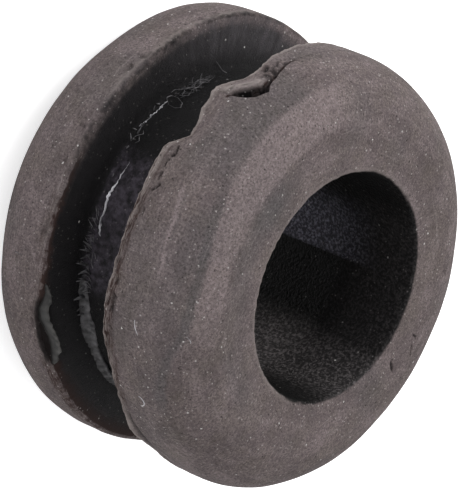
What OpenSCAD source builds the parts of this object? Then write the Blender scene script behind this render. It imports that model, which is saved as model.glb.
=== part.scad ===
// Rubber grommet: one moulded ring with a panel groove round its waist and a plain bore.
// It lies on its rear flange. The axis is Z, and the origin is the centre of the rear face.

/* [Bore] */
// Diameter of the bore that the cable, pipe or peg goes through
bore_d = 10.4; // [6:0.1:12]
// Rounding of the bore's two mouths
mouth_r = 0.2; // [0.05:0.05:0.6]

/* [Flanges] */
// Outside diameter of both flanges
flange_d = 20; // [18:0.1:30]
// Thickness of a flange, from its flat face to the groove
flange_t = 4.25; // [3.6:0.05:8]
// Radius of the crown between a flange's flat face and its outer wall
crown_r = 3; // [1:0.1:3.3]
// Rounding of a flange's rim where its outer wall meets the groove
rim_r = 0.2; // [0.05:0.05:0.3]

/* [Groove] */
// Diameter of the groove's floor, which fills the hole in the panel
groove_d = 15; // [13:0.1:17]
// Width of the groove, which is the thickness of the panel
groove_w = 3.9; // [2:0.1:8]
// Fillet in the two corners of the groove
corner_r = 0.3; // [0.1:0.05:0.8]

/* [Moulding flash] */
// Height of the flash line that stands on the groove's floor
flash_h = 0.25; // [0.1:0.05:0.8]
// Thickness of the flash line where it leaves the floor
flash_t = 0.3; // [0.1:0.05:0.6]
// Gap between the flash line and the rear corner's fillet
flash_gap = 0.1; // [0.05:0.05:0.8]
// Length of the flash tongue left on the rear flange's rim
tongue_l = 3.3; // [1:0.1:6]
// Height of the tongue above the rim
tongue_h = 0.8; // [0.2:0.1:1.4]
// Thickness of the tongue
tongue_t = 0.2; // [0.1:0.05:0.5]
// Direction of the tongue round the axis, in degrees
tongue_turn = -51.5; // [-180:0.5:180]
// Length of the flash lip in the rear corner of the groove
lip_l = 5.6; // [2:0.1:8]
// How far the lip reaches up the rear flange's wall
lip_w = 0.5; // [0.35:0.05:1]
// How far the lip reaches along the groove's floor
lip_h = 0.6; // [0.35:0.05:1.2]
// Direction of the lip, in degrees
lip_turn = -41; // [-180:0.5:180]

/* [Damage] */
// Length of the hollow that is eaten out of the rear flange's rim beside the tongue
hollow_l = 3.7; // [1:0.1:6]
// Depth of the hollow, square to the rim's corner
hollow_h = 0.32; // [0.1:0.02:0.8]
// Direction of the hollow, in degrees
hollow_turn = -49.5; // [-180:0.5:180]
// Length of the small bite out of the front flange's rim
small_bite_l = 3.1; // [1:0.1:5]
// Depth of the small bite, square to the rim's corner
small_bite_h = 0.5; // [0.1:0.05:1]
// Direction of the small bite, in degrees
small_bite_turn = -114.5; // [-180:0.5:180]
// Length of the large bite
large_bite_l = 5.2; // [1:0.1:7]
// Depth of the large bite, square to the rim's corner
large_bite_h = 0.65; // [0.1:0.05:1]
// Direction of the large bite, in degrees
large_bite_turn = -141; // [-180:0.5:180]
// Height above the groove of the hooked tear's crook, which is over the large bite
crook_rise = 2.1; // [1:0.1:3]
// Direction of the crook, in degrees
crook_turn = -131.5; // [-180:0.5:180]
// Length of the gash that falls steeply from the crook
gash_l = 2; // [1:0.1:3]
// Depth of the gash at its middle
gash_h = 0.9; // [0.2:0.05:1.5]
// Width of the gash
gash_w = 0.5; // [0.1:0.05:0.8]
// Slope of the gash, in degrees from level
gash_fall = 56; // [0:1:80]
// Length of the thin tail that runs from the crook the other way
tail_l = 2.4; // [1:0.1:4]
// Depth of the tail at its middle
tail_h = 0.4; // [0.1:0.05:1]
// Width of the tail
tail_w = 0.25; // [0.1:0.05:0.5]
// Slope of the tail, in degrees from level
tail_fall = 18; // [0:1:60]

/* [Hidden] */
$fn = 96;
bore_r = bore_d / 2;
flange_r = flange_d / 2;
groove_r = groove_d / 2;
wall_h = flange_t - crown_r;
rear_rim_z = flange_t;
front_rim_z = flange_t + groove_w;
// Angle of a bite's floor across the rim's corner
bite_slope = 45;
// How far the hollow reaches down the rim's wall, which is also how deep the tongue is rooted
hollow_reach = hollow_h / cos(bite_slope);
// Length by which every cutter runs past what it cuts
overrun = 0.5;

// Radius of the arc that has this chord and this rise at its middle
function arc_radius(chord, rise) = (chord * chord / 4 + rise * rise) / (2 * rise);

// Radius of the circle that crosses a ring of radius r over this chord and stands out of it by this rise
function crest_radius(r, chord, rise) =
    let(far = r + rise, near = sqrt(r * r - chord * chord / 4))
    (far * far + r * r - 2 * far * near) / (2 * (far - near));

// What a rounding of radius r takes off a square corner that lies at the origin,
// with the material on the +X and +Y sides
module corner_waste(r) {
    difference() {
        square(r);
        translate([r, r]) circle(r);
    }
}

// Half section of one flange: the groove is below it and the flat face on top
module flange_section() {
    difference() {
        union() {
            translate([bore_r, 0]) square([flange_r - crown_r - bore_r, flange_t]);
            translate([flange_r - crown_r, 0]) square([crown_r, wall_h]);
            translate([flange_r - crown_r, wall_h]) intersection() {
                circle(crown_r);
                square(crown_r);
            }
        }
        translate([bore_r, flange_t]) mirror([0, 1]) corner_waste(mouth_r);
        translate([flange_r, 0]) mirror([1, 0]) corner_waste(rim_r);
    }
}

// Half section of the waist between the flanges, with the fillets and the flash line
module waist_section() {
    translate([bore_r, 0]) square([groove_r - bore_r, groove_w]);
    translate([groove_r, 0]) corner_waste(corner_r);
    translate([groove_r, groove_w]) mirror([0, 1]) corner_waste(corner_r);
    translate([groove_r, corner_r + flash_gap])
        polygon([[-overrun, 0], [0, 0], [flash_h, flash_t / 2], [0, flash_t], [-overrun, flash_t]]);
}

// The whole ring as it leaves a clean mould
module ring() {
    rotate_extrude() {
        translate([0, front_rim_z]) flange_section();
        translate([0, rear_rim_z]) waist_section();
        translate([0, rear_rim_z]) mirror([0, 1]) flange_section();
    }
}

// A tongue of flash that stands on the rear rim, with an arched outline
module flash_tongue() {
    arch_r = arc_radius(tongue_l, tongue_h);
    outer_r = flange_r - rim_r;
    rotate([0, 0, tongue_turn]) intersection() {
        rotate_extrude()
            translate([outer_r - tongue_t, rear_rim_z - hollow_reach])
                square([tongue_t, hollow_reach + tongue_h + overrun]);
        translate([outer_r - tongue_l / 2, 0, rear_rim_z + tongue_h - arch_r])
            rotate([0, 90, 0]) cylinder(r = arch_r, h = tongue_l);
    }
}

// A lip of flash that bridges the groove's rear corner and dies away at both ends
module corner_lip() {
    crest_r = crest_radius(groove_r, lip_l, lip_w);
    rotate([0, 0, lip_turn]) intersection() {
        rotate_extrude()
            translate([groove_r, rear_rim_z])
                polygon([[-overrun, -overrun], [lip_w, -overrun], [lip_w, 0], [0, lip_h], [-overrun, lip_h]]);
        translate([groove_r + lip_w - crest_r, 0, rear_rim_z - overrun])
            cylinder(r = crest_r, h = lip_h + 2 * overrun);
    }
}

// A round bite out of a flange's rim, across the corner of its wall and the groove
module rim_bite(length, depth, turn, rim_z, slope) {
    bite_r = arc_radius(length, depth);
    rotate([0, 0, turn])
        translate([flange_r, 0, rim_z])
            rotate([0, slope, 0])
                translate([bite_r - depth, 0, 0])
                    cylinder(r = bite_r, h = 2 * (depth + overrun), center = true);
}

// A blade-shaped cut into a flange's outer wall. It falls away from the origin by this slope
// and starts far enough behind it to meet another cut that starts there
module tear_leg(length, depth, width, fall) {
    blade_r = arc_radius(length, depth);
    rotate([-fall, 0, 0])
        translate([blade_r - depth, length / 2 - gash_w, 0])
            cylinder(r = blade_r, h = width, center = true);
}

// The hooked tear in the front flange's outer wall: a gash and a tail that meet in a crook
module tear() {
    rotate([0, 0, crook_turn])
        translate([flange_r, 0, front_rim_z + crook_rise]) {
            tear_leg(gash_l, gash_h, gash_w, gash_fall);
            mirror([0, 1, 0]) tear_leg(tail_l, tail_h, tail_w, tail_fall);
        }
}

// The moulded ring with its flash and the damage to its two rims
module grommet() {
    color("#5f5654") {
        difference() {
            ring();
            rim_bite(small_bite_l, small_bite_h, small_bite_turn, front_rim_z, bite_slope);
            rim_bite(large_bite_l, large_bite_h, large_bite_turn, front_rim_z, bite_slope);
            rim_bite(hollow_l, hollow_h, hollow_turn, rear_rim_z, -bite_slope);
            tear();
        }
        flash_tongue();
        corner_lip();
    }
}

grommet();
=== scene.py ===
import math

import bmesh
import bpy
import numpy as np
from mathutils import Matrix, Vector, noise


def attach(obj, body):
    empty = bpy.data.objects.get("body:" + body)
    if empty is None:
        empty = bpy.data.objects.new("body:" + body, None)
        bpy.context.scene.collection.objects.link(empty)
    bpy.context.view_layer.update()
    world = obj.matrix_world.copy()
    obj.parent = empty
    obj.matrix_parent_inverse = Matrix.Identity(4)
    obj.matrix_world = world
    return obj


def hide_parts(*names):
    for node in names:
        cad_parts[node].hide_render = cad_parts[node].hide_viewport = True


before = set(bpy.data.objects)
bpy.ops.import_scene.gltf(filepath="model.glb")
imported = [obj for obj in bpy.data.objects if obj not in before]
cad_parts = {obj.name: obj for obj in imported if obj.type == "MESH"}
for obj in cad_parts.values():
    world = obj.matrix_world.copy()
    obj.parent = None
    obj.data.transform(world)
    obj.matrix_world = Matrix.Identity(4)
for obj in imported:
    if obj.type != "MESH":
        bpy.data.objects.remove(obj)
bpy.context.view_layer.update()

# Sizes of the grommet in millimetres, as in the solid
MM = 0.001
BORE_R = 5.2
FLANGE_R = 10.0
GROOVE_R = 7.5
FLANGE_T = 4.25
GROOVE_W = 3.9
CROWN_R = 3.0
WALL_H = FLANGE_T - CROWN_R
RIM_R = 0.2
CORNER_R = 0.3
MOUTH_R = 0.2
HEIGHT = 2 * FLANGE_T + GROOVE_W
MID_Z = HEIGHT / 2
REAR_RIM_Z = FLANGE_T
FRONT_RIM_Z = FLANGE_T + GROOVE_W
# Least radius of the points that count as a flange's outer wall
WALL_R = FLANGE_R - 1
# Height from the middle above which a point near the bore is on one of its mouths
MOUTH_Z = MID_Z - 0.3
# Points closer than this are joined
JOIN = 0.001
# Slack in telling which of the ring's surfaces a point is on
SLACK = 0.01
RUBBER_IOR = 1.5


def smooth_step(low, high, value):
    """0 below low, 1 above high and a smooth rise between them."""
    share = np.clip((value - low) / (high - low), 0, 1)
    return share * share * (3 - 2 * share)


def window(low, high, soft, value):
    """1 between low and high, easing to 0 over a soft margin outside them."""
    return smooth_step(low - soft, low, value) * (1 - smooth_step(high, high + soft, value))


def round_table(table, degrees):
    """A value read from a table of (degrees, value) that goes round the ring."""
    places, values = zip(*table)
    return np.interp(degrees, places, values, period=360)


def lumps(points, size, seed):
    """Smooth noise from about -1 to 1 at each point, with lumps of this size in millimetres."""
    shift = Vector((seed * 17.3, seed * 5.1, seed * 9.7))
    return np.array([noise.noise(Vector(p) / size + shift) for p in points])


# Colours and nodes

def linear(code):
    """An sRGB hex colour as linear red, green, blue and alpha."""
    shares = [int(code[i:i + 2], 16) / 255 for i in (1, 3, 5)]
    return [c / 12.92 if c <= 0.04045 else ((c + 0.055) / 1.055) ** 2.4 for c in shares] + [1.0]


def add(tree, kind, inputs=None, **settings):
    """Adds a node, sets its properties, and sets or links its inputs by name or number.
    A node given as an input is linked by its first output that is in use."""
    node = tree.nodes.new(kind)
    for key, value in settings.items():
        setattr(node, key, value)
    for key, value in (inputs or {}).items():
        if isinstance(value, bpy.types.Node):
            value = next(socket for socket in value.outputs if socket.enabled)
        if isinstance(value, bpy.types.NodeSocket):
            tree.links.new(value, node.inputs[key])
        else:
            node.inputs[key].default_value = value
    return node


def lay_scale(length, width):
    """Scale of a pattern that is this long round the turn and this wide across it, in millimetres."""
    return FLANGE_R / length, FLANGE_R / length, 1 / width


def new_material(name):
    """An empty node material with its shader and output."""
    material = bpy.data.materials.new(name)
    material.use_nodes = True
    tree = material.node_tree
    tree.nodes.clear()
    shader = add(tree, "ShaderNodeBsdfPrincipled")
    add(tree, "ShaderNodeOutputMaterial", {"Surface": shader})
    return material, tree, shader


def dust(tree, place, tone, cover, cell, grain, share, colour):
    """Grains of this diameter and colour scattered over a tone, one to a cell at most, and unevenly plain
    to see. A share of the cells has one, and they are as thick as the cover. Sizes are in millimetres."""
    cells = add(tree, "ShaderNodeTexVoronoi", {"Vector": place, "Scale": 1 / cell})
    drawn = add(tree, "ShaderNodeSeparateColor", {0: cells.outputs["Color"]})
    reach = grain / 2 / cell
    near = add(tree, "ShaderNodeMapRange",
               {0: cells.outputs["Distance"], 1: 0.4 * reach, 2: reach, 3: 1.0, 4: 0.0})
    plain = add(tree, "ShaderNodeMapRange", {0: drawn.outputs[0], 1: 0.0, 2: share, 3: 1.0, 4: 0.0})
    shown = add(tree, "ShaderNodeMath", {0: near, 1: plain}, operation="MULTIPLY")
    shown = add(tree, "ShaderNodeMath", {0: shown, 1: cover}, operation="MULTIPLY")
    return add(tree, "ShaderNodeMix", {0: shown, 6: tone, 7: linear(colour)}, data_type="RGBA")


def clouds(tree, place, size, detail, low, high, dark, light):
    """Clouds of this size in millimetres, from a dark to a light colour."""
    cloud = add(tree, "ShaderNodeTexNoise", {"Vector": place, "Scale": 1 / (size * MM), "Detail": detail})
    spread = add(tree, "ShaderNodeMapRange", {0: cloud, 1: low, 2: high})
    return add(tree, "ShaderNodeMix", {0: spread, 6: linear(dark), 7: linear(light)}, data_type="RGBA")


# Dust on the skin and on the black rubber: cell, diameter of a grain, share of the cells, colour
SKIN_DUST = ((0.2, 0.09, 0.6, "#aca5a2"), (0.46, 0.11, 0.45, "#dcd8d5"), (0.26, 0.11, 0.5, "#262120"))
BLACK_DUST = (0.75, 0.12, 0.45, "#e4e0dc")


def moulded_rubber():
    """Black nitrile rubber, moulded. Its handled skin has bloomed to a dusty brown grey with a fine
    grain, and the groove and the bore keep the black of the fresh rubber."""
    material, tree, shader = new_material("moulded nitrile rubber")
    place = add(tree, "ShaderNodeTexCoord").outputs["Object"]
    mm = add(tree, "ShaderNodeVectorMath", {0: place, "Scale": 1 / MM}, operation="SCALE")
    # The direction round the ring and the place along its section, so that a pattern follows the turn
    lay = add(tree, "ShaderNodeAttribute", attribute_name="lay").outputs["Vector"]
    wear_and_painted_light = add(tree, "ShaderNodeAttribute", attribute_name="wear_and_painted_light")
    torn, bloom_and_painted_light, rub_and_painted_light = add(tree, "ShaderNodeSeparateColor", {0: wear_and_painted_light.outputs["Color"]}).outputs
    edge = wear_and_painted_light.outputs["Alpha"]
    hollow = add(tree, "ShaderNodeAttribute", attribute_name="hollow").outputs["Vector"]
    groove, bore, brown = add(tree, "ShaderNodeSeparateXYZ", {0: hollow}).outputs

    # Smears that follow the turn, and hairlines
    drawn = add(tree, "ShaderNodeVectorMath", {0: lay, 1: lay_scale(2.5, 1.111)}, operation="MULTIPLY")
    streak = add(tree, "ShaderNodeTexNoise",
                 {"Vector": drawn, "Scale": 1.0, "Detail": 7.0, "Roughness": 0.66})
    combed = add(tree, "ShaderNodeVectorMath", {0: lay, 1: lay_scale(3.846, 0.1667)}, operation="MULTIPLY")
    comb = add(tree, "ShaderNodeTexNoise", {"Vector": combed, "Scale": 1.0, "Detail": 2.0, "Roughness": 0.5})
    hairline = add(tree, "ShaderNodeMapRange", {0: comb, 1: 0.62, 2: 0.74, 3: 0.0, 4: 0.24})
    # Grain about 0.1 mm across, pores about 0.2 mm across and the bore's wrinkles about 0.13 mm across
    grain = add(tree, "ShaderNodeTexNoise", {"Vector": mm, "Scale": 1 / 0.1, "Detail": 4.0, "Roughness": 0.8})
    pore = add(tree, "ShaderNodeTexNoise", {"Vector": mm, "Scale": 1 / 0.2, "Detail": 2.0, "Roughness": 0.6})
    wrinkle = add(tree, "ShaderNodeTexNoise",
                  {"Vector": mm, "Scale": 1 / 0.13, "Detail": 2.0, "Distortion": 0.5})
    # The same place, shaken by about 0.05 mm, so that grains of dust are not round
    shaken = add(tree, "ShaderNodeVectorMath", {0: grain.outputs["Color"], 1: (0.12, 0.12, 0.12), 2: mm},
                 operation="MULTIPLY_ADD")

    skin = add(tree, "ShaderNodeValToRGB", {0: streak})
    stops = skin.color_ramp.elements
    stops[0].position, stops[0].color = 0.34, linear("#5a5151")
    stops[1].position, stops[1].color = 0.66, linear("#756a6a")
    stops.new(0.5).color = linear("#675d5d")
    # Olive patches about 1.5 mm across, where oil has soaked in
    oil = add(tree, "ShaderNodeTexNoise", {"Vector": mm, "Scale": 1 / 1.5, "Detail": 5.0, "Roughness": 0.7})
    oil = add(tree, "ShaderNodeMapRange", {0: oil, 1: 0.42, 2: 0.66, 3: 0.0, 4: 0.4})
    skin = add(tree, "ShaderNodeMix", {0: oil, 6: skin, 7: linear("#655d56")}, data_type="RGBA")
    skin = add(tree, "ShaderNodeMix", {0: bloom_and_painted_light, 6: skin, 7: linear("#4a4a4b")}, data_type="RGBA")
    skin = add(tree, "ShaderNodeMix", {0: rub_and_painted_light, 6: skin, 7: linear("#857979")}, data_type="RGBA")
    skin = add(tree, "ShaderNodeMix", {0: hairline, 6: skin, 7: linear("#8d8382")}, data_type="RGBA")
    light = add(tree, "ShaderNodeMapRange", {0: grain, 1: 0.36, 2: 0.64, 3: 0.5, 4: 1.6})
    dark = add(tree, "ShaderNodeMapRange", {0: pore, 1: 0.54, 2: 0.74, 3: 1.0, 4: 0.58})
    mottle = add(tree, "ShaderNodeMath", {0: light, 1: dark}, operation="MULTIPLY")
    skin = add(tree, "ShaderNodeMix", {0: 1.0, 6: skin, 7: mottle}, data_type="RGBA", blend_type="MULTIPLY")
    # Pale rubbed rim edges, and the painted highlight on the bore's mouths
    skin = add(tree, "ShaderNodeMix", {0: edge, 6: skin, 7: linear("#938a86")}, data_type="RGBA")
    # Brown cracks that run beside the rims' edges, and raw brown edges
    rows = add(tree, "ShaderNodeVectorMath", {0: lay, 1: lay_scale(0.6667, 0.07143)}, operation="MULTIPLY")
    pitted = add(tree, "ShaderNodeTexNoise", {"Vector": rows, "Scale": 1.0, "Detail": 4.0, "Roughness": 0.7})
    pitted = add(tree, "ShaderNodeMapRange", {0: pitted, 1: 0.47, 2: 0.57})
    raw = add(tree, "ShaderNodeMath", {0: brown, 1: 4.0}, operation="POWER")
    pitted = add(tree, "ShaderNodeMath", {0: pitted, 1: brown, 2: raw},
                 operation="MULTIPLY_ADD", use_clamp=True)
    skin = add(tree, "ShaderNodeMix", {0: pitted, 6: skin, 7: linear("#3b2d2a")}, data_type="RGBA")

    # The groove is black, greyer on its floor, and scraped across its walls
    scraped = add(tree, "ShaderNodeVectorMath", {0: lay, 1: lay_scale(0.4545, 3.333)}, operation="MULTIPLY")
    scrape = add(tree, "ShaderNodeTexNoise", {"Vector": scraped, "Scale": 1.0, "Detail": 3.0})
    scrape = add(tree, "ShaderNodeMapRange", {0: scrape, 1: 0.3, 2: 0.7, 3: 0.35, 4: 1.0})
    scrape = add(tree, "ShaderNodeMath", {0: scrape, 1: rub_and_painted_light}, operation="MULTIPLY")
    depth = add(tree, "ShaderNodeMix", {0: pore, 6: linear("#090808"), 7: linear("#1d1c1d")},
                data_type="RGBA")
    # Its bloom lies in patches about 0.35 mm across
    blotch = add(tree, "ShaderNodeTexNoise",
                 {"Vector": mm, "Scale": 1 / 0.35, "Detail": 4.0, "Roughness": 0.7})
    blotch = add(tree, "ShaderNodeMapRange", {0: blotch, 1: 0.38, 2: 0.64, 3: 0.15, 4: 1.5})
    blotch = add(tree, "ShaderNodeMath", {0: blotch, 1: bloom_and_painted_light}, operation="MULTIPLY", use_clamp=True)
    depth = add(tree, "ShaderNodeMix", {0: blotch, 6: depth, 7: linear("#443f46")}, data_type="RGBA")
    depth = add(tree, "ShaderNodeMix", {0: scrape, 6: depth, 7: linear("#4f4b4e")}, data_type="RGBA")
    tone = add(tree, "ShaderNodeMix", {0: groove, 6: skin, 7: depth}, data_type="RGBA")

    # The bore has an orange peel with painted glints on its tops, a painted cool light carried by the bloom,
    # and a painted warm light carried by the rub
    inside = add(tree, "ShaderNodeMix", {0: bloom_and_painted_light, 6: linear("#0a0909"), 7: linear("#74727e")},
                 data_type="RGBA")
    inside = add(tree, "ShaderNodeMix", {0: rub_and_painted_light, 6: inside, 7: linear("#6a6565")}, data_type="RGBA")
    # The wrinkles' low parts are darker and their tops much brighter: painted glints on the orange peel
    peel_and_painted_glints = add(tree, "ShaderNodeMapRange", {0: wrinkle, 1: 0.45, 2: 0.72, 3: 0.45, 4: 2.6})
    inside = add(tree, "ShaderNodeMix", {0: 1.0, 6: inside, 7: peel_and_painted_glints}, data_type="RGBA", blend_type="MULTIPLY")
    tone = add(tree, "ShaderNodeMix", {0: bore, 6: tone, 7: inside}, data_type="RGBA")
    tone = add(tree, "ShaderNodeMix", {0: torn, 6: tone, 7: linear("#0e0b0b")}, data_type="RGBA")
    black = add(tree, "ShaderNodeMath", {0: groove, 1: bore}, operation="MAXIMUM")
    cover = add(tree, "ShaderNodeMath", {0: black, 1: -0.75, 2: 1.0}, operation="MULTIPLY_ADD")
    for row in SKIN_DUST:
        tone = dust(tree, shaken, tone, cover, *row)
    tone = dust(tree, shaken, tone, black, *BLACK_DUST)
    tree.links.new(tone.outputs[2], shader.inputs["Base Color"])

    dull = add(tree, "ShaderNodeMath", {0: groove, 1: -0.3, 2: 0.82}, operation="MULTIPLY_ADD")
    dull = add(tree, "ShaderNodeMath", {0: bore, 1: -0.12, 2: dull}, operation="MULTIPLY_ADD")
    tree.links.new(dull.outputs[0], shader.inputs["Roughness"])
    steep = add(tree, "ShaderNodeMath", {0: wrinkle, 1: 4.5}, operation="MULTIPLY")
    relief = add(tree, "ShaderNodeMix", {0: bore, 2: mottle, 3: steep}, data_type="FLOAT")
    bump = add(tree, "ShaderNodeBump", {"Strength": 0.7, "Distance": 0.04 * MM, "Height": relief})
    tree.links.new(bump.outputs[0], shader.inputs["Normal"])
    shader.inputs["IOR"].default_value = RUBBER_IOR
    shader.inputs["Specular IOR Level"].default_value = 0.12
    return material


def thin_flash(name, dark, light):
    """Thin flash of the same rubber, squeezed out at the mould's joint: smooth, a little shiny, clouded
    between a dark and a light grey, and darkened by painted shade where it is rooted in the rear flange."""
    material, tree, shader = new_material(name)
    place = add(tree, "ShaderNodeTexCoord").outputs["Object"]
    tone = clouds(tree, place, 0.3, 5.0, 0.35, 0.65, dark, light)
    height = add(tree, "ShaderNodeSeparateXYZ", {0: place}).outputs["Z"]
    # Painted shade: darker towards its root
    root, free = (REAR_RIM_Z - 0.1) * MM, (REAR_RIM_Z + 0.4) * MM
    root_shade = add(tree, "ShaderNodeMapRange", {0: height, 1: root, 2: free, 3: 0.3, 4: 1.0})
    tone = add(tree, "ShaderNodeMix", {0: 1.0, 6: tone, 7: root_shade}, data_type="RGBA", blend_type="MULTIPLY")
    tree.links.new(tone.outputs[2], shader.inputs["Base Color"])
    shader.inputs["Roughness"].default_value = 0.5
    shader.inputs["IOR"].default_value = RUBBER_IOR
    shader.inputs["Specular IOR Level"].default_value = 0.25
    return material


def stretched_flash():
    """Flash drawn out to a thread when the ring left the mould: pale and shiny, with its lightest clouds near
    white as a painted highlight for its glint.
    """
    material, tree, shader = new_material("stretched rubber flash")
    place = add(tree, "ShaderNodeTexCoord").outputs["Object"]
    # Near white at the top of the clouds: a painted glint
    tone = clouds(tree, place, 0.6, 3.0, 0.3, 0.62, "#2c2b2e", "#e6e4e8")
    tree.links.new(tone.outputs[2], shader.inputs["Base Color"])
    shader.inputs["Roughness"].default_value = 0.3
    shader.inputs["IOR"].default_value = RUBBER_IOR
    return material


def lint(name, dark, light):
    """Lint that has caught on the rubber: matt grey fibres that are cleaner in some places than in others."""
    material, tree, shader = new_material(name)
    place = add(tree, "ShaderNodeTexCoord").outputs["Object"]
    tone = clouds(tree, place, 0.25, 2.0, 0.35, 0.65, dark, light)
    tree.links.new(tone.outputs[2], shader.inputs["Base Color"])
    shader.inputs["Roughness"].default_value = 0.9
    return material


rubber = moulded_rubber()
corner_rubber = thin_flash("rubber flash", "#2a292a", "#6a686a")
# A darker copy of the same flash for the tongue on the rear rim, as painted shade
rim_rubber = thin_flash("rubber flash, darker for painted shade", "#1e1d1c", "#484644")
pale_flash = stretched_flash()
grey_lint = lint("grey lint", "#424042", "#727072")
pale_lint = lint("pale lint", "#464446", "#767476")


def pour(bm, whole):
    """Adds a finished bmesh to a larger one."""
    mesh = bpy.data.meshes.new("poured")
    bm.to_mesh(mesh)
    bm.free()
    whole.from_mesh(mesh)
    bpy.data.meshes.remove(mesh)


def add_piece(name, bm, material):
    """Makes the finished bmesh a piece of the part that rides on its only body."""
    bmesh.ops.recalc_face_normals(bm, faces=bm.faces[:])
    mesh = bpy.data.meshes.new(name)
    bm.to_mesh(mesh)
    bm.free()
    mesh.polygons.foreach_set("use_smooth", [True] * len(mesh.polygons))
    mesh.materials.append(material)
    piece = bpy.data.objects.new(name, mesh)
    bpy.context.scene.collection.objects.link(piece)
    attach(piece, "root")
    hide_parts("grommet")
    return piece


# The ring: its half section is turned round the bore, finely on the worn side

# Corners of the half section: radius, height, rounding, steps of the rounding
SECTION = (
    (BORE_R, 0, MOUTH_R, 3),
    (FLANGE_R, 0, CROWN_R, 20),
    (FLANGE_R, REAR_RIM_Z, RIM_R, 4),
    (GROOVE_R, REAR_RIM_Z, CORNER_R, 3),
    (GROOVE_R, FRONT_RIM_Z, CORNER_R, 3),
    (FLANGE_R, FRONT_RIM_Z, RIM_R, 4),
    (FLANGE_R, HEIGHT, CROWN_R, 36),
    (BORE_R, HEIGHT, MOUTH_R, 3),
)
# Longest step along the section's straight runs: in the bore, on the front flange, elsewhere
BORE_STEP, FRONT_STEP, PLAIN_STEP = 0.6, 0.11, 0.2
# Turns of the section: first direction, degrees and steps. The torn rim's are the finest
TURNS = (
    (-165, 32, 106), (-133, 33, 108),
    (-100, 43, 86), (-57, 42, 84),
    (-15, 105, 72), (90, 105, 72),
)
# The tear's window: first and last direction, and heights above the groove of its lowest row of points,
# of the two rows that become the tear's edges, and of its highest row
TEAR_TURNS = (-149.5, -122.0)
TEAR_ROWS = (0.45, 1.2, 2.1, 2.95)
# The pitted part of the front face: first and last direction, least and greatest radius
PITTED_TURNS = (62, 115)
PITTED_RADII = (5.9, 8.3)
# The cracked part of the front flange's wall: first and last direction, least and greatest height above
# the groove
CRACKED_TURNS = (-109, -86)
CRACKED_HEIGHTS = (0.35, 1.05)


def ring_section(bm):
    """Draws the rounded half section as a closed line in the XZ plane."""
    corners = [bm.verts.new((r * MM, 0, z * MM)) for r, z, _, _ in SECTION]
    bm.faces.new(corners)
    for corner, (_, _, rounding, steps) in zip(corners, SECTION):
        bmesh.ops.bevel(bm, geom=[corner], offset=rounding * MM, offset_type="OFFSET", affect="VERTICES",
                        segments=steps, profile=0.5, material=-1)
    bmesh.ops.delete(bm, geom=bm.faces[:], context="FACES_ONLY")
    for edge in bm.edges[:]:
        middle = (edge.verts[0].co + edge.verts[1].co) / (2 * MM)
        if middle.x < BORE_R + MOUTH_R:
            step = BORE_STEP
        elif middle.z > FRONT_RIM_Z + RIM_R:
            step = FRONT_STEP
        else:
            step = PLAIN_STEP
        cuts = int(edge.calc_length() / (step * MM)) - 1
        if cuts > 0:
            bmesh.ops.subdivide_edges(bm, edges=[edge], cuts=cuts)


def turn_section(whole, first, degrees, steps):
    """Turns the half section from a first direction and adds the sector to the whole mesh."""
    bm = bmesh.new()
    ring_section(bm)
    bmesh.ops.rotate(bm, verts=bm.verts[:], cent=(0, 0, 0),
                     matrix=Matrix.Rotation(math.radians(first), 3, "Z"))
    bmesh.ops.spin(bm, geom=bm.verts[:] + bm.edges[:], cent=(0, 0, 0), axis=(0, 0, 1), dvec=(0, 0, 0),
                   angle=math.radians(degrees), steps=steps)
    pour(bm, whole)


def refine(bm, turns, wanted):
    """Halves the edges between these directions where the points' radius and height are wanted."""
    inside = set()
    for vert in bm.verts:
        x, y, z = vert.co / MM
        turn = math.degrees(math.atan2(y, x))
        if turns[0] < turn < turns[1] and wanted(math.hypot(x, y), z):
            inside.add(vert)
    edges = [edge for edge in bm.edges if inside.issuperset(edge.verts)]
    bmesh.ops.subdivide_edges(bm, edges=edges, cuts=1, use_grid_fill=True)


def on_torn_wall(radius, z):
    """Whether a point lies in the rows that the tear is made from."""
    return radius > WALL_R and TEAR_ROWS[0] < z - FRONT_RIM_Z < TEAR_ROWS[-1]


def on_pitted_face(radius, z):
    """Whether a point lies on the part of the front face that has pits."""
    return PITTED_RADII[0] < radius < PITTED_RADII[1] and z > HEIGHT - MOUTH_R


def on_cracked_wall(radius, z):
    """Whether a point lies on the part of the front flange's wall that has cracks."""
    return radius > FLANGE_R - RIM_R and CRACKED_HEIGHTS[0] < z - FRONT_RIM_Z < CRACKED_HEIGHTS[1]


# How far each flange is out of round: direction and millimetres
FRONT_ROUND = (
    (-175, -0.12), (-160, -0.04), (-140, 0.0), (-60, 0.0), (-30, -0.06), (-15, -0.18), (-5, -0.08),
    (5, 0.04), (15, 0.07), (45, 0.05), (55, 0.02), (75, -0.03), (95, -0.06), (125, -0.05), (145, -0.07),
    (165, -0.12),
)
REAR_ROUND = (
    (-175, 0.08), (-165, 0.15), (-155, 0.14), (-145, 0.06), (-135, 0.0), (-105, 0.03), (-75, 0.02),
    (-45, -0.01), (-15, -0.06), (-5, -0.08), (8, -0.15), (60, -0.03), (130, 0.0), (175, 0.0),
)
# How far up each flange's wall the damage to its rim reaches
FRONT_REACH, REAR_REACH = 2.6, 1.4
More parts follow.
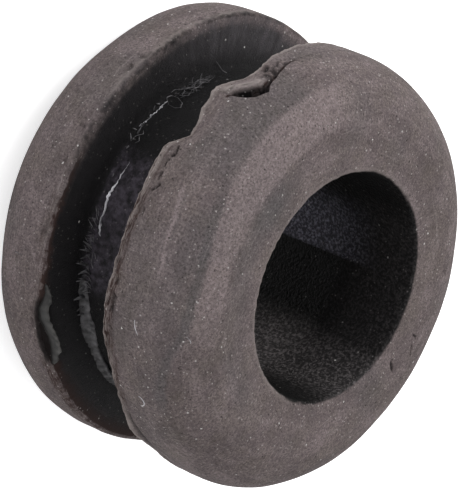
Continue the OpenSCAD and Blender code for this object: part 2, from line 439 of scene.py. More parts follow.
# How far the front rim's edge has been torn back from the groove, and where it droops into it
FRONT_RIM_RISE = (
    (-175, 0.0), (-166, 0.06), (-161, 0.2), (-156, 0.2), (-150, 0.34), (-145, 0.42), (-140, 0.62),
    (-137.3, 0.76), (-134.5, 0.73), (-132.8, 0.63), (-130, 0.36), (-127, 0.08), (-125, 0.1), (-123, 0.25),
    (-119.5, 0.34), (-117, 0.57), (-114.6, 0.68), (-111.5, 0.73), (-109.6, 0.48), (-107.6, 0.09),
    (-106, -0.02), (-95, 0.02), (-80, -0.02), (-70, -0.12), (-66, -0.24), (-60, -0.3), (-57, -0.28),
    (-54, -0.2), (-51, -0.08), (-46, -0.02), (-40.5, 0.03), (-35.7, 0.03), (-31, -0.08), (-28, -0.2),
    (-25, -0.4), (-22, -0.45), (-18, -0.3), (-12, -0.05), (30, 0.05), (70, -0.04), (110, 0.06), (150, -0.03),
)
# How deep the rear rim's edge is eaten away behind the tongue of flash
REAR_RIM_DROP = ((-62, 0.0), (-59, 0.1), (-55.5, 0.3), (-52, 0.42), (-47, 0.4),
                 (-43.5, 0.34), (-40, 0.24), (-37, 0.1), (-35, 0.0))
# The tear above the front rim: direction, heights of its lip's edge and of its far edge above the groove,
# depth
TEAR = (
    (-147, 1.40, 1.60, 0.0), (-142.5, 1.42, 1.70, 0.12), (-139, 1.50, 1.86, 0.2),
    (-136.9, 1.52, 1.96, 0.28), (-134.4, 1.56, 2.08, 0.45), (-132.4, 1.62, 2.26, 0.9),
    (-130.1, 1.40, 2.22, 1.15), (-128.7, 1.20, 2.14, 1.1), (-127.2, 1.06, 1.9, 0.9),
    (-126.3, 1.02, 1.62, 0.6), (-125.4, 0.95, 1.2, 0.2), (-124.6, 0.9, 1.05, 0.0),
)
# The inner edge of the grey smear on the front crown: direction and place along the section
SMEAR_EDGE = ((-125, -3.9), (-105, -3.6), (-98, -3.3), (-81, -2.8), (-69, -3.0), (-61, -3.3),
              (-54, -4.2), (-48, -4.7), (-40, -5.0))
# A pale scuff round the front flange's wall, in the same columns
SCUFF = ((-98, -5.9), (-94, -5.75), (-91, -5.65), (-86, -5.6), (-81, -5.5), (-78, -5.4), (-74, -5.3))
# Radius on the groove's walls where the handled skin gives way to black
SKIN_EDGE_R = 9.6
# Direction where the bore's painted cool light ends in a straight painted shadow edge
COOL_EDGE = 105.8
# Where the bore's black runs onto its mouth's rounding as painted shade: first and last direction, soft
# margin
PAINTED_SHADE_MOUTH = (10, 140, 25)
# Pits in the front face, cracks beside the front rim and hollows at the tear's tail: direction, radius and
# height of both ends, half width, depth
PITS = (
    (109.9, 7.5, HEIGHT, 105.2, 7.9, HEIGHT, 0.11, 0.1), (69.7, 6.2, HEIGHT, 68, 6.65, HEIGHT, 0.1, 0.08),
    (80.8, 6.9, HEIGHT, 77.7, 7.2, HEIGHT, 0.07, 0.06), (84.3, 6.7, HEIGHT, 83.8, 6.95, HEIGHT, 0.07, 0.05),
    (-107.5, 10.0, 8.9, -105.5, 10.0, 9.0, 0.06, 0.14), (-105.5, 10.0, 9.0, -104.5, 10.0, 8.9, 0.07, 0.14),
    (-103.5, 10.0, 8.85, -101.5, 10.0, 8.8, 0.045, 0.06), (-100.0, 10.0, 8.85, -98.0, 10.0, 8.85, 0.055, 0.1),
    (-97.0, 10.0, 9.05, -96.0, 10.0, 8.95, 0.07, 0.14), (-96.0, 10.0, 8.95, -95.0, 10.0, 8.8, 0.055, 0.1),
    (-90.5, 10.0, 8.8, -88.5, 10.0, 8.85, 0.055, 0.1), (-67.5, 10.0, 8.6, -65.5, 10.0, 8.45, 0.07, 0.12),
    (-139.8, 9.92, 9.2, -138.6, 9.92, 9.3, 0.2, 0.12), (-139.0, 9.92, 9.8, -138.0, 9.92, 9.85, 0.18, 0.08),
    (-65.5, 10.0, 8.45, -63.0, 10.0, 8.35, 0.06, 0.1), (-61.5, 10.0, 8.45, -59.0, 10.0, 8.4, 0.07, 0.12),
)


class Skin:
    """The ring's points as they were cast, in millimetres, and how each one is moved and worn."""

    def __init__(self, mesh):
        count = len(mesh.vertices)
        flat = np.zeros(count * 3)
        mesh.vertices.foreach_get("co", flat)
        self.point = flat.reshape(-1, 3) / MM
        flat = np.zeros(count * 3)
        mesh.vertices.foreach_get("normal", flat)
        self.normal = flat.reshape(-1, 3)
        x, y, self.z = self.point.T
        self.radius = np.hypot(x, y)
        self.degrees = np.degrees(np.arctan2(y, x))
        self.outward = np.stack([x / self.radius, y / self.radius, np.zeros(count)], 1)
        self.upward = np.array([0.0, 0.0, 1.0])
        self.front = self.z > MID_Z
        # Height above the groove on the front flange, and below it on the rear flange
        self.above = self.z - FRONT_RIM_Z
        self.below = REAR_RIM_Z - self.z
        self.off_rim = np.where(self.front, self.above, self.below)
        self.on_wall = (self.off_rim > -SLACK) & (self.radius > FLANGE_R - RIM_R - SLACK)
        self.on_side = (np.abs(self.off_rim) < 0.25) & (self.radius <= FLANGE_R - RIM_R + 2 * SLACK)
        # Place along the section: it falls from the bore's mouth over the crown and down the wall
        self.along = np.abs(self.z - MID_Z) - self.radius
        self.moved = self.point.copy()
        self.torn = np.zeros(count)
        self.pale = np.zeros(count)
        self.raw = np.zeros(count)

    def push(self, direction, distance):
        """Moves every point by its own distance along a direction, or along its own direction."""
        self.moved += direction * distance[:, None]

    def slide(self, height):
        """Moves the front flange's outer points over its wall and crown to these heights above the groove."""
        on_crown = [np.clip(h - WALL_H, 0, CROWN_R) for h in (self.above, height)]
        back = [CROWN_R - np.sqrt(CROWN_R ** 2 - rise ** 2) for rise in on_crown]
        self.push(self.outward, back[0] - back[1])
        self.push(self.upward, height - self.above)


def leave_round(skin):
    """A soft moulding sags: it has slow waves, but for the face it stands on, and its flanges are not quite
    round."""
    waves = 0.035 * lumps(skin.point, 3.0, 1) + 0.014 * lumps(skin.point, 0.9, 2)
    skin.push(skin.normal, waves * smooth_step(0.0, 0.6, skin.z))
    out = np.where(skin.front, round_table(FRONT_ROUND, skin.degrees), round_table(REAR_ROUND, skin.degrees))
    skin.push(skin.outward, out * smooth_step(7.0, 9.6, skin.radius))


def nibble_mouth(skin):
    """The bore's mouths are a little ragged."""
    near = 1 - smooth_step(BORE_R + 0.1, BORE_R + 0.5, skin.radius)
    near = np.where(np.abs(skin.z - MID_Z) > MOUTH_Z, near, 0)
    skin.push(skin.outward, 0.05 * near * lumps(skin.point, 0.26, 12))


def tear_rims(skin):
    """The front rim's edge is torn back in scallops, and the rear rim's is eaten away behind its tongue."""
    share = np.where(skin.on_wall & skin.front, (1 - np.clip(skin.above / FRONT_REACH, 0, 1)) ** 1.6, 0)
    share = np.where(skin.on_side & skin.front, smooth_step(8.7, 9.85, skin.radius), share)
    rise = round_table(FRONT_RIM_RISE, skin.degrees)
    skin.push(skin.upward, rise * share)
    skin.push(skin.outward, -0.22 * np.clip(rise, 0, None) * share)

    share = np.where(skin.on_wall & ~skin.front, (1 - np.clip(skin.below / REAR_REACH, 0, 1)) ** 1.3, 0)
    share = np.where(skin.on_side & ~skin.front, smooth_step(9.45, 9.8, skin.radius), share)
    drop = round_table(REAR_RIM_DROP, skin.degrees)
    skin.push(skin.upward, -drop * share)
    hollow = np.where(~skin.front & (skin.on_wall | (skin.on_side & (skin.radius > 9.5))), 1, 0)
    hollow = hollow * (1 - smooth_step(0.05, 0.3, skin.below)) * smooth_step(0.08, 0.25, drop)
    skin.torn = np.maximum(skin.torn, 0.9 * hollow)


def open_tear(skin):
    """The tear in the front flange's wall: a dark gap under a smooth lip, with a mottled, rough tail."""
    turn, lip_edge, far_edge, depth = (np.array(column) for column in zip(*TEAR))
    lowest, highest = TEAR_ROWS[0], TEAR_ROWS[-1]
    inside = skin.front & (skin.above > 0.15) & (skin.radius > WALL_R)
    uneven = lumps(FLANGE_R * skin.outward, 0.35, 6)
    low = np.interp(skin.degrees, turn, lip_edge) + 0.03 * uneven
    high = np.interp(skin.degrees, turn, far_edge) + 0.06 * uneven
    cut = np.interp(skin.degrees, turn, depth, 0, 0)

    # Rows of points slide to the tear's edges, so that these come out smooth
    row = np.clip(skin.above, lowest, highest)
    share = np.interp(row, TEAR_ROWS, (0, 1, 2, 3))
    height = np.select(
        (share < 1, share < 2),
        (lowest + share * (low - lowest), low + (share - 1) * (high - low)),
        high + (share - 2) * (highest - high))
    near = window(turn[0] + 1, turn[-1] - 1, 2.5, skin.degrees) * inside
    height = skin.above + (height - row) * near
    skin.slide(height)

    across = (height - low) / (high - low)
    fall = 1 - (1 - np.clip(across / 0.45, 0, 1)) ** 2
    tail = smooth_step(132.5, 136, -skin.degrees)
    bite = np.where(inside, fall * (1 - smooth_step(0.78 - 0.35 * tail, 1.0, across)), 0)
    strands = 1 - 0.25 * smooth_step(0.0, 0.5, lumps(skin.point, 0.3, 7))
    sunk = cut * bite * strands
    skin.push(skin.outward, -sunk)
    ragged = 0.05 * lumps(skin.point, 0.16, 14)
    shreds = smooth_step(0.15, 0.4, lumps(skin.point * np.array([1, 1, 3]), 0.22, 17))
    mottled = np.clip(0.5 + 0.5 * lumps(skin.point, 0.14, 18), 0, 1)
    gap = smooth_step(0.05, 0.24, sunk + ragged) * (1 - 0.4 * shreds)
    dark = gap * (1 - tail) + 0.75 * tail * mottled * bite
    skin.torn = np.maximum(skin.torn, np.where(inside, dark, 0))
    pulled = np.maximum(window(0.04, 0.3, 0.04, sunk), shreds * smooth_step(0.2, 0.3, sunk))
    skin.raw = np.where(inside, pulled, 0)

    # The lip curls out, and the crown beyond the tear is dented
    held = smooth_step(0.25, 0.7, cut)
    lip = np.where(inside, np.exp(-((height - low + 0.28) / 0.25) ** 2), 0) * held
    skin.push(skin.outward + 0.5 * skin.upward, 0.1 * lip)
    smooth = np.where(inside, np.exp(-((height - low + 0.35) / 0.38) ** 2), 0) * held
    skin.pale = np.maximum(skin.pale, 0.75 * smooth)
    dent = np.where(inside, np.exp(-((skin.above - 2.55) / 0.5) ** 2), 0)
    skin.push(skin.normal, -0.13 * (dent * window(-140, -130, 5, skin.degrees)))
    # Nodules at the tail, where the rubber has pulled apart
    rough = np.where(inside, window(0.9, 1.75, 0.3, skin.above), 0) * window(-145, -137, 4, skin.degrees)
    nodule = lumps(skin.point, 0.28, 8) + 0.4 * lumps(skin.point, 0.13, 19)
    skin.push(skin.outward, 0.16 * rough * nodule)
    skin.torn = np.maximum(skin.torn, 0.7 * rough * smooth_step(-0.3, 0.15, -nodule))
    # Streaks under the lip's edge
    streak = smooth_step(-0.1, 0.35, lumps(skin.point * np.array([1, 1, 3]), 0.4, 13))
    under = np.where(inside, window(-0.3, -0.06, 0.12, height - low), 0) * held * streak
    skin.torn = np.maximum(skin.torn, 0.5 * under)


def pit_rims(skin):
    """Both rims' edges are ragged and pitted, and the front one is creased."""
    near = np.where(skin.on_wall, 1 - smooth_step(0.3, 0.75, skin.off_rim), 0)
    ragged = 0.05 * lumps(skin.point, 0.35, 3) + 0.03 * lumps(skin.point, 0.15, 15)
    skin.push(skin.upward - 0.5 * skin.outward, near * ragged)
    patch = smooth_step(-0.15, 0.3, lumps(skin.point, 1.6, 4))
    often = np.where(skin.front, 0.3 + 0.6 * window(-78, -55, 6, skin.degrees), 0.8)
    # Pits are three times as long round the rim as they are high
    arc = FLANGE_R * np.radians(skin.degrees)
    grid = np.stack([arc / 3, skin.off_rim, skin.front], 1)
    pit = smooth_step(0.02, 0.3, lumps(grid, 0.16, 5)) * near * smooth_step(0.12, 0.25, skin.off_rim)
    pit *= np.maximum(patch * often, np.where(skin.front, window(-76, -57, 4, skin.degrees), 0))
    skin.push(skin.outward, -0.14 * pit)
    skin.torn = np.maximum(skin.torn, 0.75 * pit)
    # The front rim's edge has folded back low on the near side
    crease = 0.33 - 0.75 * round_table(FRONT_RIM_RISE, skin.degrees)
    fold = np.exp(-((skin.above - crease) / 0.11) ** 2) * window(-31, -20, 4, skin.degrees) * skin.front
    skin.push(skin.outward, -0.08 * fold)
    skin.torn = np.maximum(skin.torn, 0.8 * fold)


def cut_pits(skin):
    """Short dark pits, cracks and hollows in the front flange."""
    wobble = 0.03 * lumps(skin.point, 0.12, 16)
    for row in PITS:
        ends = np.array(row[:6]).reshape(2, 3)
        around = np.radians(ends[:, 0])
        first, last = np.stack([ends[:, 1] * np.cos(around), ends[:, 1] * np.sin(around), ends[:, 2]], 1)
        half_width, depth = row[6:]
        run = last - first
        off = skin.moved - first
        share = np.clip(off @ run / (run @ run), 0, 1)
        away = np.linalg.norm(off - share[:, None] * run, axis=1) + wobble
        pit = 1 - smooth_step(0.2 * half_width, half_width, away)
        skin.push(skin.normal, -depth * pit)
        skin.torn = np.maximum(skin.torn, 0.9 * pit)


def wear_skin(skin, ragged):
    """How greyed and how rubbed the skin is: a grey smear that is sharp on its inner side, greyness round the
    bore's mouth and beside the tear, and rubbed belts."""
    turn, along = skin.degrees, skin.along
    patch = lumps(skin.point, 2.6, 10)
    on_front = np.where(skin.front, 1, 0)
    edge = round_table(SMEAR_EDGE, turn) + 0.12 * ragged
    smear = window(edge - 0.4, edge, 0.3, along) + 0.36 * window(edge - 1.3, edge, 0.9, along)
    smear = np.where(along > edge, 1 - smooth_step(0.0, 0.14, along - edge), np.clip(smear, 0, 1))
    bloom_and_painted_light = (0.26 + 0.36 * smooth_step(-95, -65, turn)) * smear * window(-112, -44, 12, turn)
    bloom_and_painted_light = bloom_and_painted_light * (0.85 + 0.3 * patch) * on_front
    mouth = 0.34 * window(-0.7, -0.3, 0.8, along) * window(-115, -35, 22, turn) * (0.8 + 0.9 * patch)
    mouth = mouth * on_front
    beside = 0.34 * window(-6.2, -4.2, 1.0, along) * window(-138, -108, 8, turn) * on_front
    bloom_and_painted_light = np.maximum(np.maximum(bloom_and_painted_light, mouth), beside) + 0.2 * smooth_step(0.05, 0.5, patch)
    # Two rubbed belts, and the scuff with a grey shade on its inner side
    rub_and_painted_light = 0.5 * window(edge + 0.2, -1.5, 0.35, along) * window(-140, -75, 25, turn) * on_front
    rub_and_painted_light += 0.15 * window(-5.75, -5.1, 0.2, along) * window(-108, -80, 8, turn) * on_front
    off_scuff = along - round_table(SCUFF, turn)
    scuff = np.exp(-(off_scuff / 0.1) ** 2) * window(-97, -78, 4, turn) * (0.7 + 0.5 * ragged)
    rub_and_painted_light += 1.3 * scuff * on_front
    shade = np.exp(-((off_scuff - 0.22) / 0.09) ** 2) * window(-95, -78, 6, turn)
    bloom_and_painted_light = np.maximum(bloom_and_painted_light, 0.4 * shade * on_front)
    return bloom_and_painted_light, rub_and_painted_light


def wear_groove(skin, ragged, bloom_and_painted_light, rub_and_painted_light):
    """How black the groove is and how brown the rims are beside it, and the bloom and rub with the groove's
    own: its floor is greyer, and its rear wall is scraped."""
    turn, radius = skin.degrees, skin.radius
    in_groove = (np.abs(skin.z - MID_Z) < GROOVE_W / 2 + SLACK) & (radius < FLANGE_R - 0.05)
    on_floor = in_groove & (radius < GROOVE_R + 0.12)
    # The handled skin reaches a little way into the groove, and the black stains the rear rim on the far side
    far_side = 1 - smooth_step(-105, -80, turn)
    low_side = smooth_step(-45, -25, turn)
    skin_edge = SKIN_EDGE_R + 0.22 * (far_side + low_side) + 0.25 * ragged * (1 - 0.2 * far_side)
    soft = 0.1 + 0.4 * far_side + 0.7 * low_side
    groove = np.where(in_groove, 1 - smooth_step(skin_edge - soft, skin_edge + 0.15, radius), 0)
    stained = np.where(skin.on_wall & ~skin.front, 1 - smooth_step(0.02, 0.3, skin.off_rim), 0)
    groove = np.maximum(groove, stained * far_side * np.clip(0.55 + 0.7 * ragged, 0, 0.9))
    # Brown lies beside the skin's edge, in cracks beside the rims' edges, and on the rear rim's raw edge
    brown_edge = skin_edge - 0.5 - 0.4 * low_side
    brown = np.where(in_groove, smooth_step(brown_edge, brown_edge + 0.4, radius), 0)
    brown = brown * window(-92, 30, 12, turn)
    beside_edge = np.where(skin.on_wall, window(0.12, 0.5, 0.12, skin.off_rim), 0)
    front_often = 0.2 + 0.3 * window(-110, -40, 10, turn) + 0.28 * window(-88, -40, 10, turn)
    rear_often = 0.4 * window(-85, -20, 12, turn) + 0.4 * window(-36, -4, 5, turn)
    often = np.where(skin.front, front_often, rear_often)
    raw = np.where(skin.on_wall, 1 - smooth_step(0.06, 0.2, skin.off_rim), 0)
    raw = np.where(in_groove, smooth_step(9.7, 9.85, radius), raw)
    worn = window(-83, -57, 5, turn) + 0.8 * window(-36, -4, 5, turn)
    raw = raw * np.where(skin.front, 0, worn) * np.clip(0.75 + 0.7 * ragged, 0, 1)
    brown = np.max([brown, beside_edge * often, raw, 0.8 * skin.raw], axis=0)
    # The floor is greyed, and the rear wall is scraped past the tear
    greyed = window(-102, -60, 8, turn) * (0.6 + 0.8 * ragged)
    bloom_and_painted_light = np.where(in_groove, np.where(on_floor, greyed, 0.04), bloom_and_painted_light)
    past_tear = np.where(turn > 90, turn - 360, turn)
    scraped = 0.08 - 0.05 * low_side + 0.8 * (1 - smooth_step(-158, -128, past_tear)) * (0.9 + 0.6 * ragged)
    rub_and_painted_light = np.where(in_groove, np.where(on_floor, 0.0, scraped * smooth_step(7.6, 9.0, radius)), rub_and_painted_light)
    return groove, brown, bloom_and_painted_light, rub_and_painted_light


def bore_black_and_painted_light(skin, ragged, bloom_and_painted_light, rub_and_painted_light):
    """How black the bore is, and the bloom and rub with the bore's own painted light put in: a painted cool
    light that ends in a straight painted shadow edge, and a painted warm light opposite."""
    turn, radius, z = skin.degrees, skin.radius, skin.z
    in_bore = radius < BORE_R + 0.15
    # On one side the black runs a little onto the mouth's rounding, as painted shade
    mouth_black_and_shade = BORE_R + 0.02 + (0.08 + 0.05 * ragged) * window(*PAINTED_SHADE_MOUTH, turn)
    bore = 1 - smooth_step(mouth_black_and_shade, mouth_black_and_shade + 0.1, radius)
    # Painted light: a cool light that ends in a straight painted shadow edge, and a warm light opposite, both
    # fading towards the front mouth
    cool = window(COOL_EDGE, 122, 22, turn)
    cool = cool * np.where(turn < COOL_EDGE, 1 - smooth_step(0.0, 1.2, COOL_EDGE - turn), 1)
    warm = window(38, 55, 20, turn) * (1 - 0.75 * smooth_step(6.2, 9.6, z))
    warm = np.maximum(warm, 0.07 * window(30, 130, 20, turn) * smooth_step(7.5, 10.5, z))
    bloom_and_painted_light = np.where(in_bore, cool * (1 - smooth_step(4.6, 10.6, z)), bloom_and_painted_light)
    rub_and_painted_light = np.where(in_bore, warm, rub_and_painted_light)
    return bore, bloom_and_painted_light, rub_and_painted_light


def rubbed_edges_and_painted_highlight(skin, ragged):
    """How pale the edges of the rims are rubbed, with a pale line on the bore's mouths as a painted
    highlight.
    """
    front_pale = 1 - smooth_step(0.2, 0.42, skin.off_rim)
    rear_pale = window(0.12, 0.2, 0.06, skin.off_rim)
    pale = np.where(skin.front, front_pale, rear_pale)
    pale = np.where(skin.on_wall, pale, 0) * (0.8 + 0.4 * ragged)
    how_pale = np.where(skin.front, 1.0, 0.1 + 0.4 * window(-165, -118, 8, skin.degrees))
    pale = np.maximum(pale * how_pale, skin.pale)
    # A pale line round the bore's mouths is a painted highlight on their rounding, left off where the mouth
    # has painted shade
    at_mouth = np.where(np.abs(skin.z - MID_Z) > MOUTH_Z, 0.4, 0)
    painted_mouth_highlight = window(BORE_R + 0.08, BORE_R + 0.16, 0.08, skin.radius) * at_mouth
    return np.maximum(np.clip(pale, 0, 1), painted_mouth_highlight * (1 - window(*PAINTED_SHADE_MOUTH, skin.degrees)))


def mark_wear_and_painted_light(skin, mesh):
    """Writes what the material needs at each point: its place on the ring, its wear and painted light, and
    how black it is.
    """
    ragged = 0.6 * lumps(skin.point, 0.5, 9) + 0.7 * lumps(skin.point, 0.2, 11)
    bloom_and_painted_light, rub_and_painted_light = wear_skin(skin, ragged)
    groove, brown, bloom_and_painted_light, rub_and_painted_light = wear_groove(skin, ragged, bloom_and_painted_light, rub_and_painted_light)
    bore, bloom_and_painted_light, rub_and_painted_light = bore_black_and_painted_light(skin, ragged, bloom_and_painted_light, rub_and_painted_light)
    pale = rubbed_edges_and_painted_highlight(skin, ragged)
    around = np.radians(skin.degrees)
    lay = mesh.attributes.new("lay", "FLOAT_VECTOR", "POINT")
    lay.data.foreach_set("vector", np.stack([np.cos(around), np.sin(around), skin.along], 1).ravel())
    wear_and_painted_light = mesh.attributes.new("wear_and_painted_light", "FLOAT_COLOR", "POINT")
    shares = np.clip(np.stack([skin.torn, bloom_and_painted_light, rub_and_painted_light, pale], 1), 0, 1)
    wear_and_painted_light.data.foreach_set("color", shares.ravel())
    hollow = mesh.attributes.new("hollow", "FLOAT_VECTOR", "POINT")
    hollow.data.foreach_set("vector", np.clip(np.stack([groove, bore, brown], 1), 0, 1).ravel())


def make_ring():
    """The whole ring, worn as an old moulding is."""
    whole = bmesh.new()
    for first, degrees, steps in TURNS:
        turn_section(whole, first, degrees, steps)
    bmesh.ops.remove_doubles(whole, verts=whole.verts[:], dist=JOIN * MM)
    refine(whole, TEAR_TURNS, on_torn_wall)
    refine(whole, PITTED_TURNS, on_pitted_face)
    refine(whole, CRACKED_TURNS, on_cracked_wall)
    ring = add_piece("grommet_ring", whole, rubber)
    skin = Skin(ring.data)
    leave_round(skin)
    nibble_mouth(skin)
    tear_rims(skin)
    open_tear(skin)
    pit_rims(skin)
    cut_pits(skin)
    mark_wear_and_painted_light(skin, ring.data)
    ring.data.vertices.foreach_set("co", (skin.moved * MM).ravel())
    ring.data.update()


make_ring()


# Flash that the rubber left at the joint of the mould, and lint that has caught on it

# Degrees between the sections of a run of flash
FLASH_STEP = 0.4


def lay_flash(whole, section, path, ragged, seed):
    """Turns a small closed section along a path of (direction, radius, height, share of its size). The more
    ragged it is, the more its size and height waver."""
    turns, radii, heights, shares = zip(*sorted(path))
    bm = bmesh.new()
    corners = [bm.verts.new(((radii[0] + r) * MM, 0, (heights[0] + z) * MM)) for r, z in section]
    outline = [bm.edges.new(pair) for pair in zip(corners, corners[1:] + corners[:1])]
    bmesh.ops.rotate(bm, verts=corners, cent=(0, 0, 0),
                     matrix=Matrix.Rotation(math.radians(turns[0]), 3, "Z"))
    bmesh.ops.spin(bm, geom=corners + outline, cent=(0, 0, 0), axis=(0, 0, 1), dvec=(0, 0, 0),
                   angle=math.radians(turns[-1] - turns[0]), steps=int((turns[-1] - turns[0]) / FLASH_STEP))
    bmesh.ops.holes_fill(bm, edges=[edge for edge in bm.edges if edge.is_boundary])
    for vert in bm.verts:
        x, y, z = vert.co / MM
        radius, around = math.hypot(x, y), math.atan2(y, x)
        turn = math.degrees(around)
        # The size wavers from point to point, and the height along the path
        jag = 1 + ragged * noise.noise(Vector((turn * 0.7, radius * 3, z * 3 + seed * 7.7)))
        share = np.interp(turn, turns, shares) * jag
        stray = 0.1 * ragged * noise.noise(Vector((turn * 1.1, seed * 7.7, 0.5)))
        radius = np.interp(turn, turns, radii) + (radius - radii[0]) * share
        z = np.interp(turn, turns, heights) + stray + (z - heights[0]) * share
        vert.co = Vector((radius * math.cos(around), radius * math.sin(around), z)) * MM
    pour(bm, whole)


def frill(whole, turn, radius, height, length, lean, rise, thick):
    """A small pointed frill or fibre. It goes outwards from its foot, leans sideways and rises by these
    degrees."""
    around = math.radians(turn)
    out = Vector((math.cos(around), math.sin(around), 0))
    side = Vector((-math.sin(around), math.cos(around), 0))
    lean, rise = math.radians(lean), math.radians(rise)
    aim = (out * math.cos(lean) + side * math.sin(lean)) * math.cos(rise) + Vector((0, 0, math.sin(rise)))
    foot = out * radius + Vector((0, 0, height))
    middle = Matrix.Translation((foot + aim * length / 2) * MM)
    matrix = middle @ aim.to_track_quat("Z", "Y").to_matrix().to_4x4()
    bm = bmesh.new()
    bmesh.ops.create_cone(bm, cap_ends=True, segments=7, radius1=thick * MM, radius2=0.15 * thick * MM,
                          depth=length * MM, matrix=matrix)
    pour(bm, whole)


def brush(whole, first, last, count, radius, height, length, lean, rise, thick):
    """A row of fibres between two directions, each a little different."""
    for number in range(count):
        # What sets this fibre apart: how it leans, how long and steep it is, and where its foot is
        sway = noise.noise(Vector((1.37 * number, 0.5, 0.5)))
        reach = noise.noise(Vector((2.11 * number, 4.5, 0.5)))
        stray = noise.noise(Vector((3.19 * number, 8.5, 0.5)))
        turn = first + number * (last - first) / (count - 1)
        frill(whole, turn, radius, height + 0.5 * stray, length + 0.6 * reach,
              lean + 80 * sway, rise + 30 * reach, thick)


# Sections of the flash and the lint: radius and height from the path
SEAM_FIN = ((-0.1, -0.035), (0.05, -0.02), (0.07, 0.0), (0.05, 0.02), (-0.1, 0.035))
CORNER_BEAD = ((-0.15, -0.15), (0.34, -0.1), (0.33, 0.04), (0.2, 0.12), (0.12, 0.24), (0.05, 0.44),
               (-0.15, 0.46))
RIM_TONGUE = ((-0.1, -0.5), (0.04, -0.5), (0.03, 0.05), (0.0, 0.28), (0.0, 0.48), (-0.05, 0.5),
              (-0.07, 0.2))
LOOSE_THREAD = ((-0.02, -0.01), (0.0, -0.022), (0.02, -0.01), (0.014, 0.018), (-0.014, 0.018))
HAIR = tuple((0.65 * r, 0.65 * z) for r, z in LOOSE_THREAD)
# Their paths: direction, radius, height, share of the section's size
SEAM = (
    ((-128.8, 7.56, 4.43, 0.2), (-127.8, 7.56, 4.43, 0.7), (-127.1, 7.56, 4.43, 0.3),
     (-126.2, 7.55, 4.44, 0.4), (-125.4, 7.55, 4.46, 1.2), (-124.7, 7.55, 4.43, 0.3),
     (-123.6, 7.55, 4.41, 0.25), (-122.4, 7.55, 4.42, 0.45), (-121.2, 7.56, 4.4, 0.4),
     (-120.4, 7.56, 4.42, 1.5), (-119.7, 7.56, 4.39, 0.3), (-118.6, 7.57, 4.39, 0.25),
     (-117.4, 7.57, 4.38, 0.6), (-116.6, 7.58, 4.36, 0.2), (-115.6, 7.6, 4.35, 1.1),
     (-114.9, 7.62, 4.3, 0.2)),
    ((-102.6, 7.5, 4.93, 0.2), (-101.0, 7.5, 4.93, 0.5), (-99.6, 7.5, 4.91, 0.35), (-97.4, 7.5, 4.88, 0.8),
     (-95.8, 7.5, 4.87, 0.5), (-94.0, 7.5, 4.84, 1.1), (-91.6, 7.5, 4.78, 1.2), (-89.8, 7.5, 4.71, 2.0),
     (-88.2, 7.5, 4.73, 1.2), (-84.8, 7.51, 4.79, 1.1), (-81.4, 7.52, 4.8, 1.1), (-79.2, 7.52, 4.8, 1.3),
     (-78.0, 7.52, 4.85, 0.8), (-77.0, 7.51, 4.9, 1.3), (-76.0, 7.5, 4.94, 0.2)),
    ((12.0, 7.5, 4.45, 0.2), (24.0, 7.5, 4.42, 0.8), (46.0, 7.5, 4.5, 1.0), (58.0, 7.5, 4.46, 0.2)),
    ((118.0, 7.5, 4.4, 0.2), (130.0, 7.5, 4.42, 0.9), (152.0, 7.5, 4.38, 0.8), (166.0, 7.5, 4.4, 0.2)),
)
BEAD = ((-67.0, 7.5, 4.25, 0.15), (-61.0, 7.5, 4.25, 0.4), (-56.0, 7.5, 4.25, 0.7),
        (-51.0, 7.5, 4.25, 0.8), (-46.0, 7.5, 4.25, 0.85), (-42.0, 7.52, 4.25, 1.1),
        (-37.0, 7.53, 4.25, 0.9), (-32.0, 7.57, 4.22, 0.75), (-27.0, 7.64, 4.2, 0.75),
        (-22.0, 7.7, 4.2, 0.75), (-17.0, 7.76, 4.2, 0.7), (-13.0, 7.8, 4.2, 0.5),
        (-10.0, 7.82, 4.2, 0.2))
TONGUE = ((-62.0, 9.8, 4.16, 0.4), (-59.5, 9.7, 4.18, 0.75), (-57.5, 9.72, 4.16, 0.8),
          (-55.0, 9.84, 4.1, 0.75), (-52.0, 9.8, 4.1, 0.85), (-49.0, 9.68, 4.12, 0.95),
          (-46.0, 9.58, 4.16, 1.0), (-43.0, 9.58, 4.16, 1.0), (-41.0, 9.64, 4.16, 0.8),
          (-39.0, 9.74, 4.18, 0.5), (-38.0, 9.8, 4.18, 0.2))
